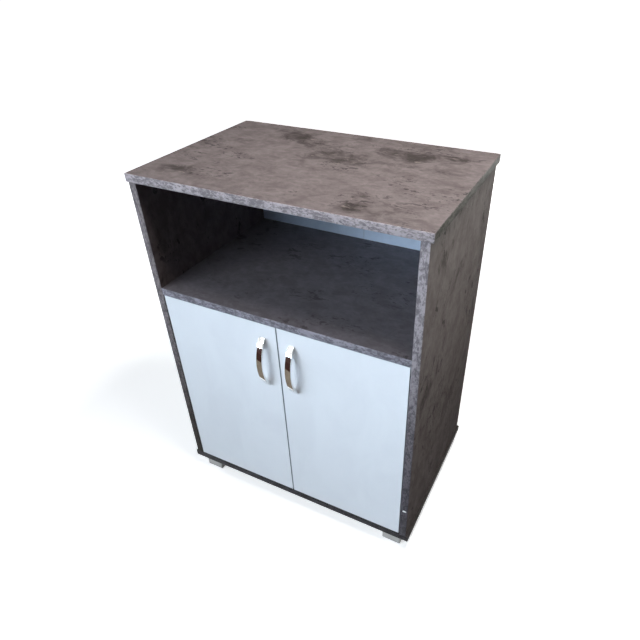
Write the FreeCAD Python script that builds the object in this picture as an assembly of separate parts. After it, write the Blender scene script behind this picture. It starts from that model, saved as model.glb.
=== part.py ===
import FreeCAD, Part
import math
import os

# A floor-standing cabinet with an open niche over two inset doors on concealed hinges.
# X runs to the right, Y to the back and Z up. The origin is on the floor,
# at the middle of the box that the whole cabinet fills. Every size is in millimetres.

# Boards and the carcass
board = 18.0
edge_band = 0.8
body_width = 670.0
body_depth = 440.0
body_height = 868.0
end_overhang = 6.0
top_front_lip = 1.0
niche_height = 257.0

# Back sheets
back_thickness = 3.0
back_margin = 0.5
back_joint_x = 8.0
back_joint_gap = 0.6

# Loose shelf behind the doors
inner_shelf_clearance = 1.0
inner_shelf_setback = 36.0
inner_shelf_height = 272.0

# Doors
door_thickness = 18.0
door_recess = 1.5
door_side_gap = 2.2
door_bottom_gap = 2.4
door_top_gap = 2.0
door_centre_gap = 3.0

# Bow handles
handle_pitch = 128.0
handle_end = 6.0
handle_foot = 12.0
handle_tip = 3.0
handle_width = 14.5
handle_projection = 27.0
handle_strap = 3.0
handle_edge_radius = 1.0
handle_drop = 36.0
handle_inset = 36.5
handle_screw_radius = 2.0
handle_screw_cover = 1.2
handle_screw_head_radius = 4.0
handle_screw_head_height = 2.4

# Feet
foot_size = 52.0
foot_height = 43.0
foot_wall = 3.0
foot_web = 5.0
foot_setback = 13.0
foot_corner_radius = 3.0
foot_screw_spacing = 24.0

# Hinge cups in the doors
hinge_inset = 90.0
cup_edge = 5.0
cup_radius = 17.5
cup_depth = 11.5
cup_wall = 1.4
cup_floor = 1.0
cup_flange = 1.0
cup_flange_length = 62.0
cup_flange_reach = 19.0
cup_flange_back = 9.0
cup_screw_pitch = 48.0
cup_screw_offset = 6.0

# Hinge plates, arms and links, seen from above
plate_setback = 37.0
plate_wing = 2.0
plate_wing_width = 16.0
plate_wing_length = 52.0
plate_height = 6.0
plate_ridge_width = 12.0
plate_ridge_length = 48.0
plate_ridge_front = 12.0
plate_screw_pitch = 32.0
arm_pivot_in = 34.0
arm_pivot_behind_door = 12.5
arm_nose = 9.0
arm_bend = 30.0
arm_tail = 32.0
arm_thickness = 5.2
arm_width = 13.0
arm_boss_radius = 3.6
arm_screw_radius = 2.5
arm_screw_head_radius = 3.6
arm_screw_head_height = 1.6
arm_screw_from_tail = 8.0
arm_screw_step = 16.0
cup_pivot_from_edge = 15.3
cup_pivot_depth = 5.3
link_elbow_from_edge = 34.8
link_elbow_depth = 7.0
link_thickness = 5.2
link_width = 7.0
link_boss_radius = 3.4
pivot_radius = 1.5
pivot_clearance = 0.05
fork_clearance = 0.25
cup_pin_bite = 0.9

# Cam fittings
cam_radius = 7.5
cam_depth = 12.5
cam_distance = 34.0
cam_setback = 50.0
cam_slot = 1.2
cam_bolt_radius = 3.0
cam_bolt_grip = 11.0
cam_bolt_head_radius = 3.6
cam_bolt_head_height = 3.0
cam_bolt_neck_radius = 2.2

# Dowels
dowel_radius = 4.0
dowel_length = 30.0
dowel_seat = 10.0
dowel_step = 40.0
dowel_end_room = 1.0

# Screws, pegs and nails
body_screw_radius = 3.3
body_screw_length = 50.0
body_screw_head_radius = 5.0
body_screw_head_height = 3.0
wood_screw_radius = 1.9
wood_screw_length = 15.0
wood_screw_head_radius = 3.6
wood_screw_head_height = 2.0
recess_width = 0.9
peg_radius = 2.5
peg_seat = 8.0
peg_reach = 9.0
peg_tab_width = 10.0
peg_tab_thickness = 2.5
peg_setback = 50.0
nail_radius = 0.7
nail_length = 20.0
nail_head_radius = 2.1
nail_head_height = 0.8
nail_spacing = 150.0

# Clearances
bore_clearance = 0.1
head_clearance = 0.15

# How much of its head or cam a driver slot takes
cross_reach_share = 0.6
cross_depth_share = 0.7
slot_reach_share = 0.8
cam_slot_share = 0.6

# Levels above the floor
body_base = foot_height
bottom_top = body_base + board
body_top = body_base + body_height
top_under = body_top - board
niche_floor = top_under - niche_height
shelf_under = niche_floor - board
shelf_middle = shelf_under + board / 2

# Lines across the cabinet
body_half = body_width / 2
opening_half = body_half - board
panel_half = body_half + end_overhang
side_middle = body_half - board / 2

# Lines from front to back
handle_reach = handle_projection - door_recess
overall_depth = handle_reach + body_depth + back_thickness + nail_head_height
front_y = handle_reach - overall_depth / 2
back_y = front_y + body_depth
door_front = front_y + door_recess
door_back = door_front + door_thickness
door_bottom = bottom_top + door_bottom_gap
door_top = shelf_under - door_top_gap
door_edge_x = opening_half - door_side_gap
door_free_x = door_centre_gap / 2

LEFT = -1
RIGHT = 1
SIDE_NAMES = {LEFT: "left", RIGHT: "right"}
UP = FreeCAD.Vector(0, 0, 1)
BACK = FreeCAD.Vector(0, 1, 0)


def point(x, y, z):
    return FreeCAD.Vector(x, y, z)


def block(x_range, y_range, z_range):
    """A box between three pairs of limits, each given in either order."""
    low = [min(pair) for pair in (x_range, y_range, z_range)]
    high = [max(pair) for pair in (x_range, y_range, z_range)]
    size = [top - bottom for bottom, top in zip(low, high)]
    return Part.makeBox(size[0], size[1], size[2], point(*low))


def rod(start, direction, length, radius):
    return Part.makeCylinder(radius, length, start, direction)


def joined(solids):
    """The solids fused into one, with no seams between flush faces."""
    whole = solids[0]
    for solid in solids[1:]:
        whole = whole.fuse(solid)
    return whole.removeSplitter()


def bored(solid, holes):
    """The solid with every hole in the list cut out of it."""
    for hole in holes:
        if solid.BoundBox.intersect(hole.BoundBox):
            solid = solid.cut(hole)
    return solid


def save(name, solids):
    """Write one node, made of one solid or of several separate ones."""
    solids = solids if isinstance(solids, list) else [solids]
    shape = solids[0] if len(solids) == 1 else Part.makeCompound(solids)
    shape.exportStep("parts/" + name + ".step")


def inner_x(side, distance):
    """X at a distance from a side's inner face into the opening."""
    return side * (opening_half - distance)


def countersunk_screw(head, direction, length, radius, head_radius, head_height):
    """A screw whose flat head starts at a point, with a cross recess in the head."""
    cone = Part.makeCone(head_radius, radius, head_height, head, direction)
    shank = rod(head, direction, length, radius)
    screw = joined([cone, shank])
    sideways = direction.cross(UP)
    across = sideways if sideways.Length else point(1, 0, 0)
    depth = direction * head_height * cross_depth_share
    for arm in (across, direction.cross(across)):
        reach = arm * head_radius * cross_reach_share
        half_width = direction.cross(arm) * recess_width / 2
        corners = [head - reach - half_width, head + reach - half_width,
                   head + reach + half_width, head - reach + half_width]
        slot = Part.Face(Part.makePolygon(corners + corners[:1])).extrude(depth)
        screw = screw.cut(slot)
    return screw


def screw_bore(head, direction, length, radius, head_radius, head_height):
    """The hole that a countersunk screw fills, with its clearances."""
    cone = Part.makeCone(head_radius + head_clearance, radius + bore_clearance,
                         head_height + head_clearance, head, direction)
    shank = rod(head, direction, length + bore_clearance, radius + bore_clearance)
    return cone.fuse(shank)


def wood_screw(head, direction):
    return countersunk_screw(head, direction, wood_screw_length, wood_screw_radius,
                             wood_screw_head_radius, wood_screw_head_height)


def wood_screw_bore(head, direction):
    return screw_bore(head, direction, wood_screw_length, wood_screw_radius,
                      wood_screw_head_radius, wood_screw_head_height)


# Cam fittings and dowels

def fitting_rows():
    return [front_y + cam_setback, back_y - cam_setback]


def dowel_rows():
    return [front_y + cam_setback + dowel_step, back_y - cam_setback - dowel_step]


def cam_lock(seat, inward, open_side):
    """A round cam in its board, slotted for the bolt's head."""
    centre = seat + inward * cam_distance + open_side * (board / 2)
    lock = rod(centre, -open_side, cam_depth, cam_radius)
    entry = seat + inward * (cam_distance - cam_radius - bore_clearance)
    pocket = rod(entry, inward, cam_radius + cam_bolt_head_height,
                 cam_bolt_head_radius + bore_clearance)
    reach = inward.cross(open_side) * cam_radius * cam_slot_share
    half_width = inward * cam_slot / 2
    corners = [centre - reach - half_width, centre + reach - half_width,
               centre + reach + half_width, centre - reach + half_width]
    slot = Part.Face(Part.makePolygon(corners + corners[:1])).extrude(-open_side * cam_slot)
    return lock.cut(pocket).cut(slot)


def cam_bore(seat, inward, open_side):
    centre = seat + inward * cam_distance + open_side * (board / 2)
    return rod(centre, -open_side, cam_depth + bore_clearance, cam_radius + bore_clearance)


def cam_bolt(seat, inward):
    """A bolt screwed into the mating board, with a neck and a round head in the cam."""
    screwed = rod(seat - inward * cam_bolt_grip, inward, cam_bolt_grip + cam_bolt_head_height,
                  cam_bolt_radius)
    neck = rod(seat, inward, cam_distance, cam_bolt_neck_radius)
    head = rod(seat + inward * (cam_distance - cam_bolt_head_height / 2), inward,
               cam_bolt_head_height, cam_bolt_head_radius)
    return joined([screwed, neck, head])


def cam_bolt_bores(seat, inward):
    grip = rod(seat - inward * (cam_bolt_grip + bore_clearance), inward,
               cam_bolt_grip + bore_clearance, cam_bolt_radius + bore_clearance)
    tunnel = rod(seat, inward, cam_distance, cam_bolt_head_radius + bore_clearance)
    return [grip, tunnel]


def dowel(seat, inward):
    return rod(seat - inward * dowel_seat, inward, dowel_length, dowel_radius)


def dowel_bore(seat, inward):
    return rod(seat - inward * (dowel_seat + dowel_end_room), inward,
               dowel_length + 2 * dowel_end_room, dowel_radius + bore_clearance)


def top_seats(rows):
    """Where a fitting crosses the joint of a side and the top, with its two directions."""
    seats = []
    for side in (LEFT, RIGHT):
        for y in rows:
            seats.append((point(side * side_middle, y, top_under), -UP, point(-side, 0, 0)))
    return seats


def bottom_seats(rows):
    return [(point(side * side_middle, y, bottom_top), UP, point(-side, 0, 0))
            for side in (LEFT, RIGHT) for y in rows]


def shelf_seats(rows):
    return [(point(side * opening_half, y, shelf_middle), point(-side, 0, 0), -UP)
            for side in (LEFT, RIGHT) for y in rows]


top_cams = top_seats(fitting_rows())
shelf_cams = shelf_seats(fitting_rows())
dowel_seats = top_seats(dowel_rows()) + shelf_seats(dowel_rows()) + bottom_seats(dowel_rows())
body_screw_heads = [point(side * side_middle, y, body_base)
                    for side in (LEFT, RIGHT) for y in fitting_rows()]


def body_screw(head):
    return countersunk_screw(head, UP, body_screw_length, body_screw_radius,
                             body_screw_head_radius, body_screw_head_height)


def body_screw_bore(head):
    return screw_bore(head, UP, body_screw_length, body_screw_radius,
                      body_screw_head_radius, body_screw_head_height)


def fitting_bores():
    """Every hole that the joints between the boards need."""
    bores = [cam_bore(*seat) for seat in top_cams + shelf_cams]
    for seat, inward, _ in top_cams + shelf_cams:
        bores += cam_bolt_bores(seat, inward)
    bores += [dowel_bore(seat, inward) for seat, inward, _ in dowel_seats]
    bores += [body_screw_bore(head) for head in body_screw_heads]
    return bores


# Back sheets and their nails

def nail_points():
    """Where the nails enter: up the sides and along the top, the fixed shelf and the bottom."""
    height = top_under - bottom_top
    side_count = max(2, round(height / nail_spacing))
    points = []
    for side in (LEFT, RIGHT):
        for index in range(side_count):
            z = bottom_top + height * (index + 0.5) / side_count
            points.append(point(side * side_middle, back_y, z))
    row_count = max(2, round(opening_half / nail_spacing))
    for z in (body_base + board / 2, shelf_middle, body_top - board / 2):
        for side in (LEFT, RIGHT):
            for index in range(row_count):
                x = side * opening_half * (index + 0.5) / row_count
                points.append(point(x, back_y, z))
    return points


def nail(entry):
    head = rod(entry + BACK * back_thickness, BACK, nail_head_height, nail_head_radius)
    shank = rod(entry + BACK * (back_thickness - nail_length), BACK, nail_length, nail_radius)
    return joined([head, shank])


def nail_bore(entry):
    return rod(entry + BACK * (back_thickness - nail_length - bore_clearance), BACK,
               nail_length + bore_clearance, nail_radius + bore_clearance)


def back_sheet(side):
    edge = back_joint_x + side * back_joint_gap / 2
    sheet = block((edge, side * (body_half - back_margin)), (back_y, back_y + back_thickness),
                  (body_base + back_margin, body_top - back_margin))
    return bored(sheet, nail_bores)


# Hinges

def hinge_levels():
    return {"upper": door_top - hinge_inset, "lower": door_bottom + hinge_inset}


def cup_centre(side, z):
    distance = door_side_gap + cup_edge + cup_radius
    return point(inner_x(side, distance), door_back, z)


def arm_pivot(side, z):
    return point(inner_x(side, arm_pivot_in), door_back + arm_pivot_behind_door, z)


def cup_pivot(side, z):
    x = inner_x(side, door_side_gap + cup_pivot_from_edge)
    return point(x, door_back - cup_pivot_depth, z)


def link_elbow(side, z):
    x = inner_x(side, door_side_gap + link_elbow_from_edge)
    return point(x, door_back - link_elbow_depth, z)


def strip(path, thickness, width):
    """A bar of even thickness along a path seen from above, rounded at every point."""
    pieces = []
    for corner in path:
        pieces.append(rod(corner - UP * width / 2, UP, width, thickness / 2))
    for start, end in zip(path, path[1:]):
        along = (end - start).normalize()
        off = UP.cross(along) * thickness / 2
        corners = [start - off, end - off, end + off, start + off]
        face = Part.Face(Part.makePolygon(corners + corners[:1]))
        face.translate(-UP * width / 2)
        pieces.append(face.extrude(UP * width))
    return joined(pieces)


def plate_line():
    """How far behind the front plane the mounting plates are screwed on."""
    return door_back + plate_setback


def arm_path(side, z):
    pivot = arm_pivot(side, z)
    shoulder = pivot + BACK * arm_nose
    tail_x = inner_x(side, plate_height + arm_thickness / 2)
    seat = point(tail_x, pivot.y + arm_bend, z)
    return [pivot, shoulder, seat, seat + BACK * arm_tail]


def arm_screw_points(side, z):
    """The heads of the two screws that hold an arm on its plate."""
    tail = arm_path(side, z)[-1]
    x = inner_x(side, plate_height + arm_thickness + arm_screw_head_height)
    return [point(x, tail.y - arm_screw_from_tail - step, z) for step in (0, arm_screw_step)]


def arm_screw(head, side):
    into = point(side, 0, 0)
    cap = rod(head, into, arm_screw_head_height, arm_screw_head_radius)
    shank = rod(head, into, arm_screw_head_height + arm_thickness + plate_height - plate_wing,
                arm_screw_radius)
    reach = arm_screw_head_radius * slot_reach_share
    slot = block((head.x, head.x + side * arm_screw_head_height / 2),
                 (head.y - reach, head.y + reach), (head.z - recess_width / 2, head.z + recess_width / 2))
    return joined([cap, shank]).cut(slot)


def arm_screw_bore(head, side):
    length = arm_screw_head_height + arm_thickness + plate_height - plate_wing + bore_clearance
    return rod(head, point(side, 0, 0), length, arm_screw_radius + bore_clearance)


def plate_screw_points(side, z):
    x = inner_x(side, plate_wing)
    return [point(x, plate_line(), z + step * plate_screw_pitch / 2) for step in (-1, 1)]


def hinge_plate(side, z):
    middle = plate_line()
    wing = block((inner_x(side, 0), inner_x(side, plate_wing)),
                 (middle - plate_wing_width / 2, middle + plate_wing_width / 2),
                 (z - plate_wing_length / 2, z + plate_wing_length / 2))
    ridge = block((inner_x(side, 0), inner_x(side, plate_height)),
                  (middle - plate_ridge_front, middle - plate_ridge_front + plate_ridge_length),
                  (z - plate_ridge_width / 2, z + plate_ridge_width / 2))
    bores = [wood_screw_bore(head, point(side, 0, 0)) for head in plate_screw_points(side, z)]
    bores += [arm_screw_bore(head, side) for head in arm_screw_points(side, z)]
    return bored(joined([wing, ridge]), bores)


def fork_slot(side, z):
    """The room that the link takes between the two ears of the arm."""
    pivot = arm_pivot(side, z)
    half = link_width / 2 + fork_clearance
    reach = arm_nose - arm_thickness / 2
    return block((pivot.x - arm_thickness * 2, pivot.x + arm_thickness * 2),
                 (pivot.y - arm_thickness * 2, pivot.y + reach), (z - half, z + half))


def hinge_arm(side, z):
    pivot = arm_pivot(side, z)
    boss = rod(pivot - UP * arm_width / 2, UP, arm_width, arm_boss_radius)
    arm = joined([strip(arm_path(side, z), arm_thickness, arm_width), boss])
    pin_hole = rod(pivot - UP * arm_width, UP, 2 * arm_width, pivot_radius + pivot_clearance)
    bores = [arm_screw_bore(head, side) for head in arm_screw_points(side, z)]
    return bored(arm, [fork_slot(side, z), pin_hole] + bores)


def arm_pin(side, z):
    return rod(arm_pivot(side, z) - UP * arm_width / 2, UP, arm_width, pivot_radius)


def hinge_link(side, z):
    """The bent bar that carries the door, from the arm's pin into the cup."""
    ends = [arm_pivot(side, z), cup_pivot(side, z)]
    bar = strip([ends[0], link_elbow(side, z), ends[1]], link_thickness, link_width)
    bosses = [rod(end - UP * link_width / 2, UP, link_width, link_boss_radius) for end in ends]
    holes = [rod(end - UP * link_width, UP, 2 * link_width, pivot_radius + pivot_clearance)
             for end in ends]
    return bored(joined([bar] + bosses), holes)


def cup_pin_half():
    """Half the length of the pin across a cup, which ends inside the cup's wall."""
    offset = cup_edge + cup_radius - cup_pivot_from_edge
    hollow = cup_radius - bore_clearance - cup_wall
    return math.sqrt(hollow ** 2 - offset ** 2) + cup_pin_bite


def cup_pin(side, z):
    half = cup_pin_half()
    return rod(cup_pivot(side, z) - UP * half, UP, 2 * half, pivot_radius)


def cup_screw_points(side, z):
    x = cup_centre(side, z).x - side * cup_screw_offset
    y = door_back + cup_flange
    return [point(x, y, z + step * cup_screw_pitch / 2) for step in (-1, 1)]


def hinge_cup(side, z):
    centre = cup_centre(side, z)
    outer = cup_radius - bore_clearance
    body = rod(centre, -BACK, cup_depth, outer)
    flange = block((centre.x + side * cup_flange_back, centre.x - side * cup_flange_reach),
                   (door_back, door_back + cup_flange),
                   (z - cup_flange_length / 2, z + cup_flange_length / 2))
    hollow = rod(centre + BACK * cup_flange, -BACK, cup_flange + cup_depth - cup_floor,
                 outer - cup_wall)
    half = cup_pin_half()
    pin_hole = rod(cup_pivot(side, z) - UP * half, UP, 2 * half, pivot_radius + bore_clearance / 2)
    bores = [wood_screw_bore(head, -BACK) for head in cup_screw_points(side, z)]
    return bored(joined([body, flange]), [hollow, pin_hole] + bores)


def cup_bore(side, z):
    return rod(cup_centre(side, z), -BACK, cup_depth + bore_clearance, cup_radius)


# Doors and handles

def handle_centre(side):
    x = side * (door_free_x + handle_inset)
    z = door_top - handle_drop - handle_end - handle_pitch / 2
    return point(x, door_front, z)


def handle_screw_seats(side):
    centre = handle_centre(side)
    return [centre + UP * step * handle_pitch / 2 for step in (-1, 1)]


def handle_half():
    return handle_pitch / 2 + handle_end


def handle_bore_depth():
    """How deep a foot is bored, which leaves the cover between the bore and the bow's front."""
    rise = handle_projection - handle_tip
    radius = (handle_half() ** 2 + rise ** 2) / (2 * rise)
    bore_edge = handle_pitch / 2 + handle_screw_radius + bore_clearance
    front = handle_projection - radius + math.sqrt(radius ** 2 - bore_edge ** 2)
    return front - handle_screw_cover


def handle_arc(side, half_length, foot, reach):
    """An arc in the plane of one handle flank, from one end in front of the door to the other."""
    flank = handle_centre(side) - point(handle_width / 2, 0, 0)
    ends = [flank + UP * step * half_length - BACK * foot for step in (1, -1)]
    return Part.Arc(ends[0], flank - BACK * reach, ends[1]).toShape()


def handle(side):
    outer = handle_arc(side, handle_half(), handle_tip, handle_projection)
    inner = handle_arc(side, handle_half() - handle_foot, 0, handle_projection - handle_strap)
    ends = []
    for tip, heel in zip(outer.Vertexes, inner.Vertexes):
        ends += Part.makePolygon([tip.Point, tip.Point + BACK * handle_tip, heel.Point]).Edges
    face = Part.Face(Part.Wire(Part.__sortEdges__([outer, inner] + ends)))
    bow = face.extrude(point(handle_width, 0, 0))
    free_edges = [edge for edge in bow.Edges if edge.BoundBox.YMin < door_front - handle_edge_radius]
    bow = bow.makeFillet(handle_edge_radius, free_edges)
    holes = [rod(seat, -BACK, handle_bore_depth(), handle_screw_radius + bore_clearance)
             for seat in handle_screw_seats(side)]
    return bored(bow, holes)


def handle_screw(seat):
    """A screw through the door from behind, with its head on the door's back."""
    start = seat + BACK * door_thickness
    head = rod(start, BACK, handle_screw_head_height, handle_screw_head_radius)
    shank = rod(start, -BACK, door_thickness + handle_bore_depth() - bore_clearance,
                handle_screw_radius)
    return joined([head, shank])


def handle_screw_bore(seat):
    return rod(seat, BACK, door_thickness, handle_screw_radius + bore_clearance)


def door(side):
    """The core of a door, inside its four edge bands."""
    core = block((side * (door_free_x + edge_band), side * (door_edge_x - edge_band)),
                 (door_front, door_back), (door_bottom + edge_band, door_top - edge_band))
    bores = [handle_screw_bore(seat) for seat in handle_screw_seats(side)]
    for z in hinge_levels().values():
        bores.append(cup_bore(side, z))
        bores += [wood_screw_bore(head, -BACK) for head in cup_screw_points(side, z)]
    return bored(core, bores)


def door_bands(side):
    upright_x = [(door_free_x, door_free_x + edge_band), (door_edge_x - edge_band, door_edge_x)]
    bands = [block((side * x[0], side * x[1]), (door_front, door_back), (door_bottom, door_top))
             for x in upright_x]
    for z in (door_bottom, door_top - edge_band):
        bands.append(block((side * (door_free_x + edge_band), side * (door_edge_x - edge_band)),
                           (door_front, door_back), (z, z + edge_band)))
    return bands


# Boards of the carcass

def full_panel(low, front):
    """The top or the bottom, with a band on its front and on both ends."""
    x = panel_half - edge_band
    core = block((-x, x), (front + edge_band, back_y), (low, low + board))
    front_band = block((-panel_half, panel_half), (front, front + edge_band), (low, low + board))
    end_bands = [block((side * x, side * panel_half), (front + edge_band, back_y),
                       (low, low + board)) for side in (LEFT, RIGHT)]
    return bored(core, board_bores), front_band, end_bands


def side_panel(side):
    core = block((side * opening_half, side * body_half), (front_y + edge_band, back_y),
                 (bottom_top, top_under))
    band = block((side * opening_half, side * body_half), (front_y, front_y + edge_band),
                 (bottom_top, top_under))
    return bored(core, board_bores), band


def shelf(half_width, low, front, rear):
    core = block((-half_width, half_width), (front + edge_band, rear), (low, low + board))
    band = block((-half_width, half_width), (front, front + edge_band), (low, low + board))
    return bored(core, board_bores), band


# Shelf pegs

def peg_seats():
    """Where the pegs under the loose shelf leave the sides."""
    front = front_y + inner_shelf_setback + peg_setback
    z = bottom_top + inner_shelf_height - peg_tab_thickness - peg_radius
    return [(side, point(side * opening_half, y, z))
            for side in (LEFT, RIGHT) for y in (front, back_y - peg_setback)]


def shelf_peg(side, seat):
    """A peg in the side, with a flat tab that the shelf lies on."""
    pin = rod(seat + point(side * peg_seat, 0, 0), point(-side, 0, 0), peg_seat + peg_reach, peg_radius)
    top = seat.z + peg_radius + peg_tab_thickness
    tab = block((seat.x, seat.x - side * peg_reach), (seat.y - peg_tab_width / 2, seat.y + peg_tab_width / 2),
                (seat.z, top))
    return joined([pin, tab])


def peg_bore(side, seat):
    return rod(seat, point(side, 0, 0), peg_seat + bore_clearance, peg_radius + bore_clearance)


# Feet

def foot_centre(side, row_y):
    return point(side * (opening_half - foot_size / 2), row_y, 0)


def foot_screw_points(centre):
    """The screws go up through the foot's web, on one of its diagonals."""
    half = foot_screw_spacing / 2
    level = UP * (foot_height - foot_web)
    return [centre + point(step * half, step * half, 0) + level for step in (-1, 1)]


def foot(centre):
    half = foot_size / 2
    outer = block((centre.x - half, centre.x + half), (centre.y - half, centre.y + half),
                  (0, foot_height))
    corners = [edge for edge in outer.Edges if edge.BoundBox.ZLength > foot_height / 2]
    outer = outer.makeFillet(foot_corner_radius, corners)
    room = half - foot_wall
    hollow = block((centre.x - room, centre.x + room), (centre.y - room, centre.y + room),
                   (0, foot_height - foot_web))
    bores = [wood_screw_bore(head, UP) for head in foot_screw_points(centre)]
    return bored(outer, [hollow] + bores)


foot_rows = {"front": front_y + foot_setback + foot_size / 2,
             "rear": back_y - foot_setback - foot_size / 2}
foot_centres = {row + "_" + SIDE_NAMES[side]: foot_centre(side, y)
                for row, y in foot_rows.items() for side in (LEFT, RIGHT)}

# Holes shared by the boards
nails = nail_points()
nail_bores = [nail_bore(entry) for entry in nails]
board_bores = fitting_bores() + nail_bores
board_bores += [peg_bore(side, seat) for side, seat in peg_seats()]
for hinge_side in (LEFT, RIGHT):
    for hinge_z in hinge_levels().values():
        board_bores += [wood_screw_bore(head, point(hinge_side, 0, 0))
                        for head in plate_screw_points(hinge_side, hinge_z)]
for foot_middle in foot_centres.values():
    board_bores += [wood_screw_bore(head, UP) for head in foot_screw_points(foot_middle)]


def save_carcass():
    for name, low, front in (("top", top_under, front_y - top_front_lip), ("bottom", body_base, front_y)):
        core, front_band, end_bands = full_panel(low, front)
        save(name + "_panel", core)
        save(name + "_front_band", front_band)
        save(name + "_end_bands", end_bands)
    for side, name in SIDE_NAMES.items():
        core, band = side_panel(side)
        save(name + "_side", core)
        save(name + "_side_band", band)
        save("back_sheet_" + name, back_sheet(side))
    core, band = shelf(opening_half, shelf_under, front_y, back_y)
    save("fixed_shelf", core)
    save("fixed_shelf_band", band)
    core, band = shelf(opening_half - inner_shelf_clearance, bottom_top + inner_shelf_height,
                       front_y + inner_shelf_setback, back_y - inner_shelf_clearance)
    save("inner_shelf", core)
    save("inner_shelf_band", band)


def save_fasteners():
    save("top_cam_locks", [cam_lock(*seat) for seat in top_cams])
    save("top_cam_bolts", [cam_bolt(seat, inward) for seat, inward, _ in top_cams])
    save("shelf_cam_locks", [cam_lock(*seat) for seat in shelf_cams])
    save("shelf_cam_bolts", [cam_bolt(seat, inward) for seat, inward, _ in shelf_cams])
    save("wood_dowels", [dowel(seat, inward) for seat, inward, _ in dowel_seats])
    save("bottom_screws", [body_screw(head) for head in body_screw_heads])
    save("back_nails", [nail(entry) for entry in nails])
    save("shelf_pegs", [shelf_peg(side, seat) for side, seat in peg_seats()])


def save_feet():
    heads = []
    for name, centre in foot_centres.items():
        save("foot_" + name, foot(centre))
        heads += foot_screw_points(centre)
    save("foot_screws", [wood_screw(head, UP) for head in heads])


def save_doors():
    for side, name in SIDE_NAMES.items():
        save(name + "_door", door(side))
        save(name + "_door_bands", door_bands(side))
        save(name + "_handle", handle(side))
        save(name + "_handle_screws", [handle_screw(seat) for seat in handle_screw_seats(side)])
        levels = hinge_levels().values()
        save(name + "_cup_pins", [cup_pin(side, z) for z in levels])
        save(name + "_cup_screws", [wood_screw(head, -BACK) for z in levels
                                    for head in cup_screw_points(side, z)])


def save_hinges():
    pins = []
    plate_screws = []
    arm_screws = []
    for side, name in SIDE_NAMES.items():
        for level, z in hinge_levels().items():
            label = name + "_" + level
            save("hinge_plate_" + label, hinge_plate(side, z))
            save("hinge_arm_" + label, hinge_arm(side, z))
            save("hinge_link_" + label, hinge_link(side, z))
            save("hinge_cup_" + label, hinge_cup(side, z))
            pins.append(arm_pin(side, z))
            plate_screws += [wood_screw(head, point(side, 0, 0)) for head in plate_screw_points(side, z)]
            arm_screws += [arm_screw(head, side) for head in arm_screw_points(side, z)]
    save("hinge_arm_pins", pins)
    save("hinge_plate_screws", plate_screws)
    save("hinge_arm_screws", arm_screws)


os.makedirs("parts", exist_ok=True)
save_carcass()
save_fasteners()
save_feet()
save_doors()
save_hinges()
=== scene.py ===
import logging
import math
from collections.abc import Callable, Iterator
from contextlib import contextmanager
from dataclasses import dataclass
from enum import Enum
from functools import cache

import bmesh
import bpy
from mathutils import Euler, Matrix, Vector


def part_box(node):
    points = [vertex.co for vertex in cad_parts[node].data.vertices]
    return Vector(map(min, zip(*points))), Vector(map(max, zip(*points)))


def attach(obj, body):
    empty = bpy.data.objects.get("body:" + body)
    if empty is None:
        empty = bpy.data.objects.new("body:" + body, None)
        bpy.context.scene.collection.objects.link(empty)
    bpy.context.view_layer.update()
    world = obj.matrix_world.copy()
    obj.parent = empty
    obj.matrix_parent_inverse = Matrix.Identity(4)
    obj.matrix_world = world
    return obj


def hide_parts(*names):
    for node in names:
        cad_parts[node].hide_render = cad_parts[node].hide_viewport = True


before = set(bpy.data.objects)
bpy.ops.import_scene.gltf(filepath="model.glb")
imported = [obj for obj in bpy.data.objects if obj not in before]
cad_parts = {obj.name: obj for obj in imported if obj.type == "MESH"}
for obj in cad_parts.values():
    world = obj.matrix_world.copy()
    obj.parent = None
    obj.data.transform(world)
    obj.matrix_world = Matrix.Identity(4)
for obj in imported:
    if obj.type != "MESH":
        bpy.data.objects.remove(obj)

log = logging.getLogger("cabinet")

Place = tuple[float, float, float]
Colour = tuple[float, float, float, float]
Socket = bpy.types.NodeSocket
Material = bpy.types.Material
Piece = bpy.types.Object

CABINET = "cabinet"
SIDES = ("left", "right")
LEVELS = ("upper", "lower")
MM = 0.001
TOUCH = 0.001 * MM
FLAT_ANGLE = 0.5
SHARP_ANGLE = 40.0
THROUGH = 90.0  # metres, deeper than any board
WHITE = (1.0, 1.0, 1.0, 1.0)
WINDOW_LIGHT = (0.74, 0.87, 1.0, 1.0)
WINDOW_AIM = (0.9, -0.2, 1.40)


class Axis(Enum):
    """An axis of the object."""

    ACROSS = "X"
    DEEP = "Y"
    UPRIGHT = "Z"


class Reading(Enum):
    """What the object tells about a point on it."""

    PLACE = "Object"
    FACING = "Normal"


class Sum(Enum):
    """What is worked out from values."""

    ADD = "ADD"
    SUBTRACT = "SUBTRACT"
    MULTIPLY = "MULTIPLY"
    MAXIMUM = "MAXIMUM"
    ABSOLUTE = "ABSOLUTE"


class Mix(Enum):
    """How one colour goes on another."""

    OVER = "MIX"
    TIMES = "MULTIPLY"
    SOFT = "SOFT_LIGHT"


class Part(Enum):
    """What is selected of a mesh."""

    CORNERS = "VERT"
    EDGES = "EDGE"
    FACES = "FACE"


def shade(red: float, green: float, blue: float) -> Colour:
    """Turn a screen colour into the linear colour that a shader takes.

    Args:
        red: the red part, 0 to 255.
        green: the green part, 0 to 255.
        blue: the blue part, 0 to 255.

    Returns:
        The linear colour, with full opacity.
    """
    parts = [part / 255.0 for part in (red, green, blue)]
    linear = [p / 12.92 if p <= 0.04045 else ((p + 0.055) / 1.055) ** 2.4 for p in parts]
    return (linear[0], linear[1], linear[2], 1.0)


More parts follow.
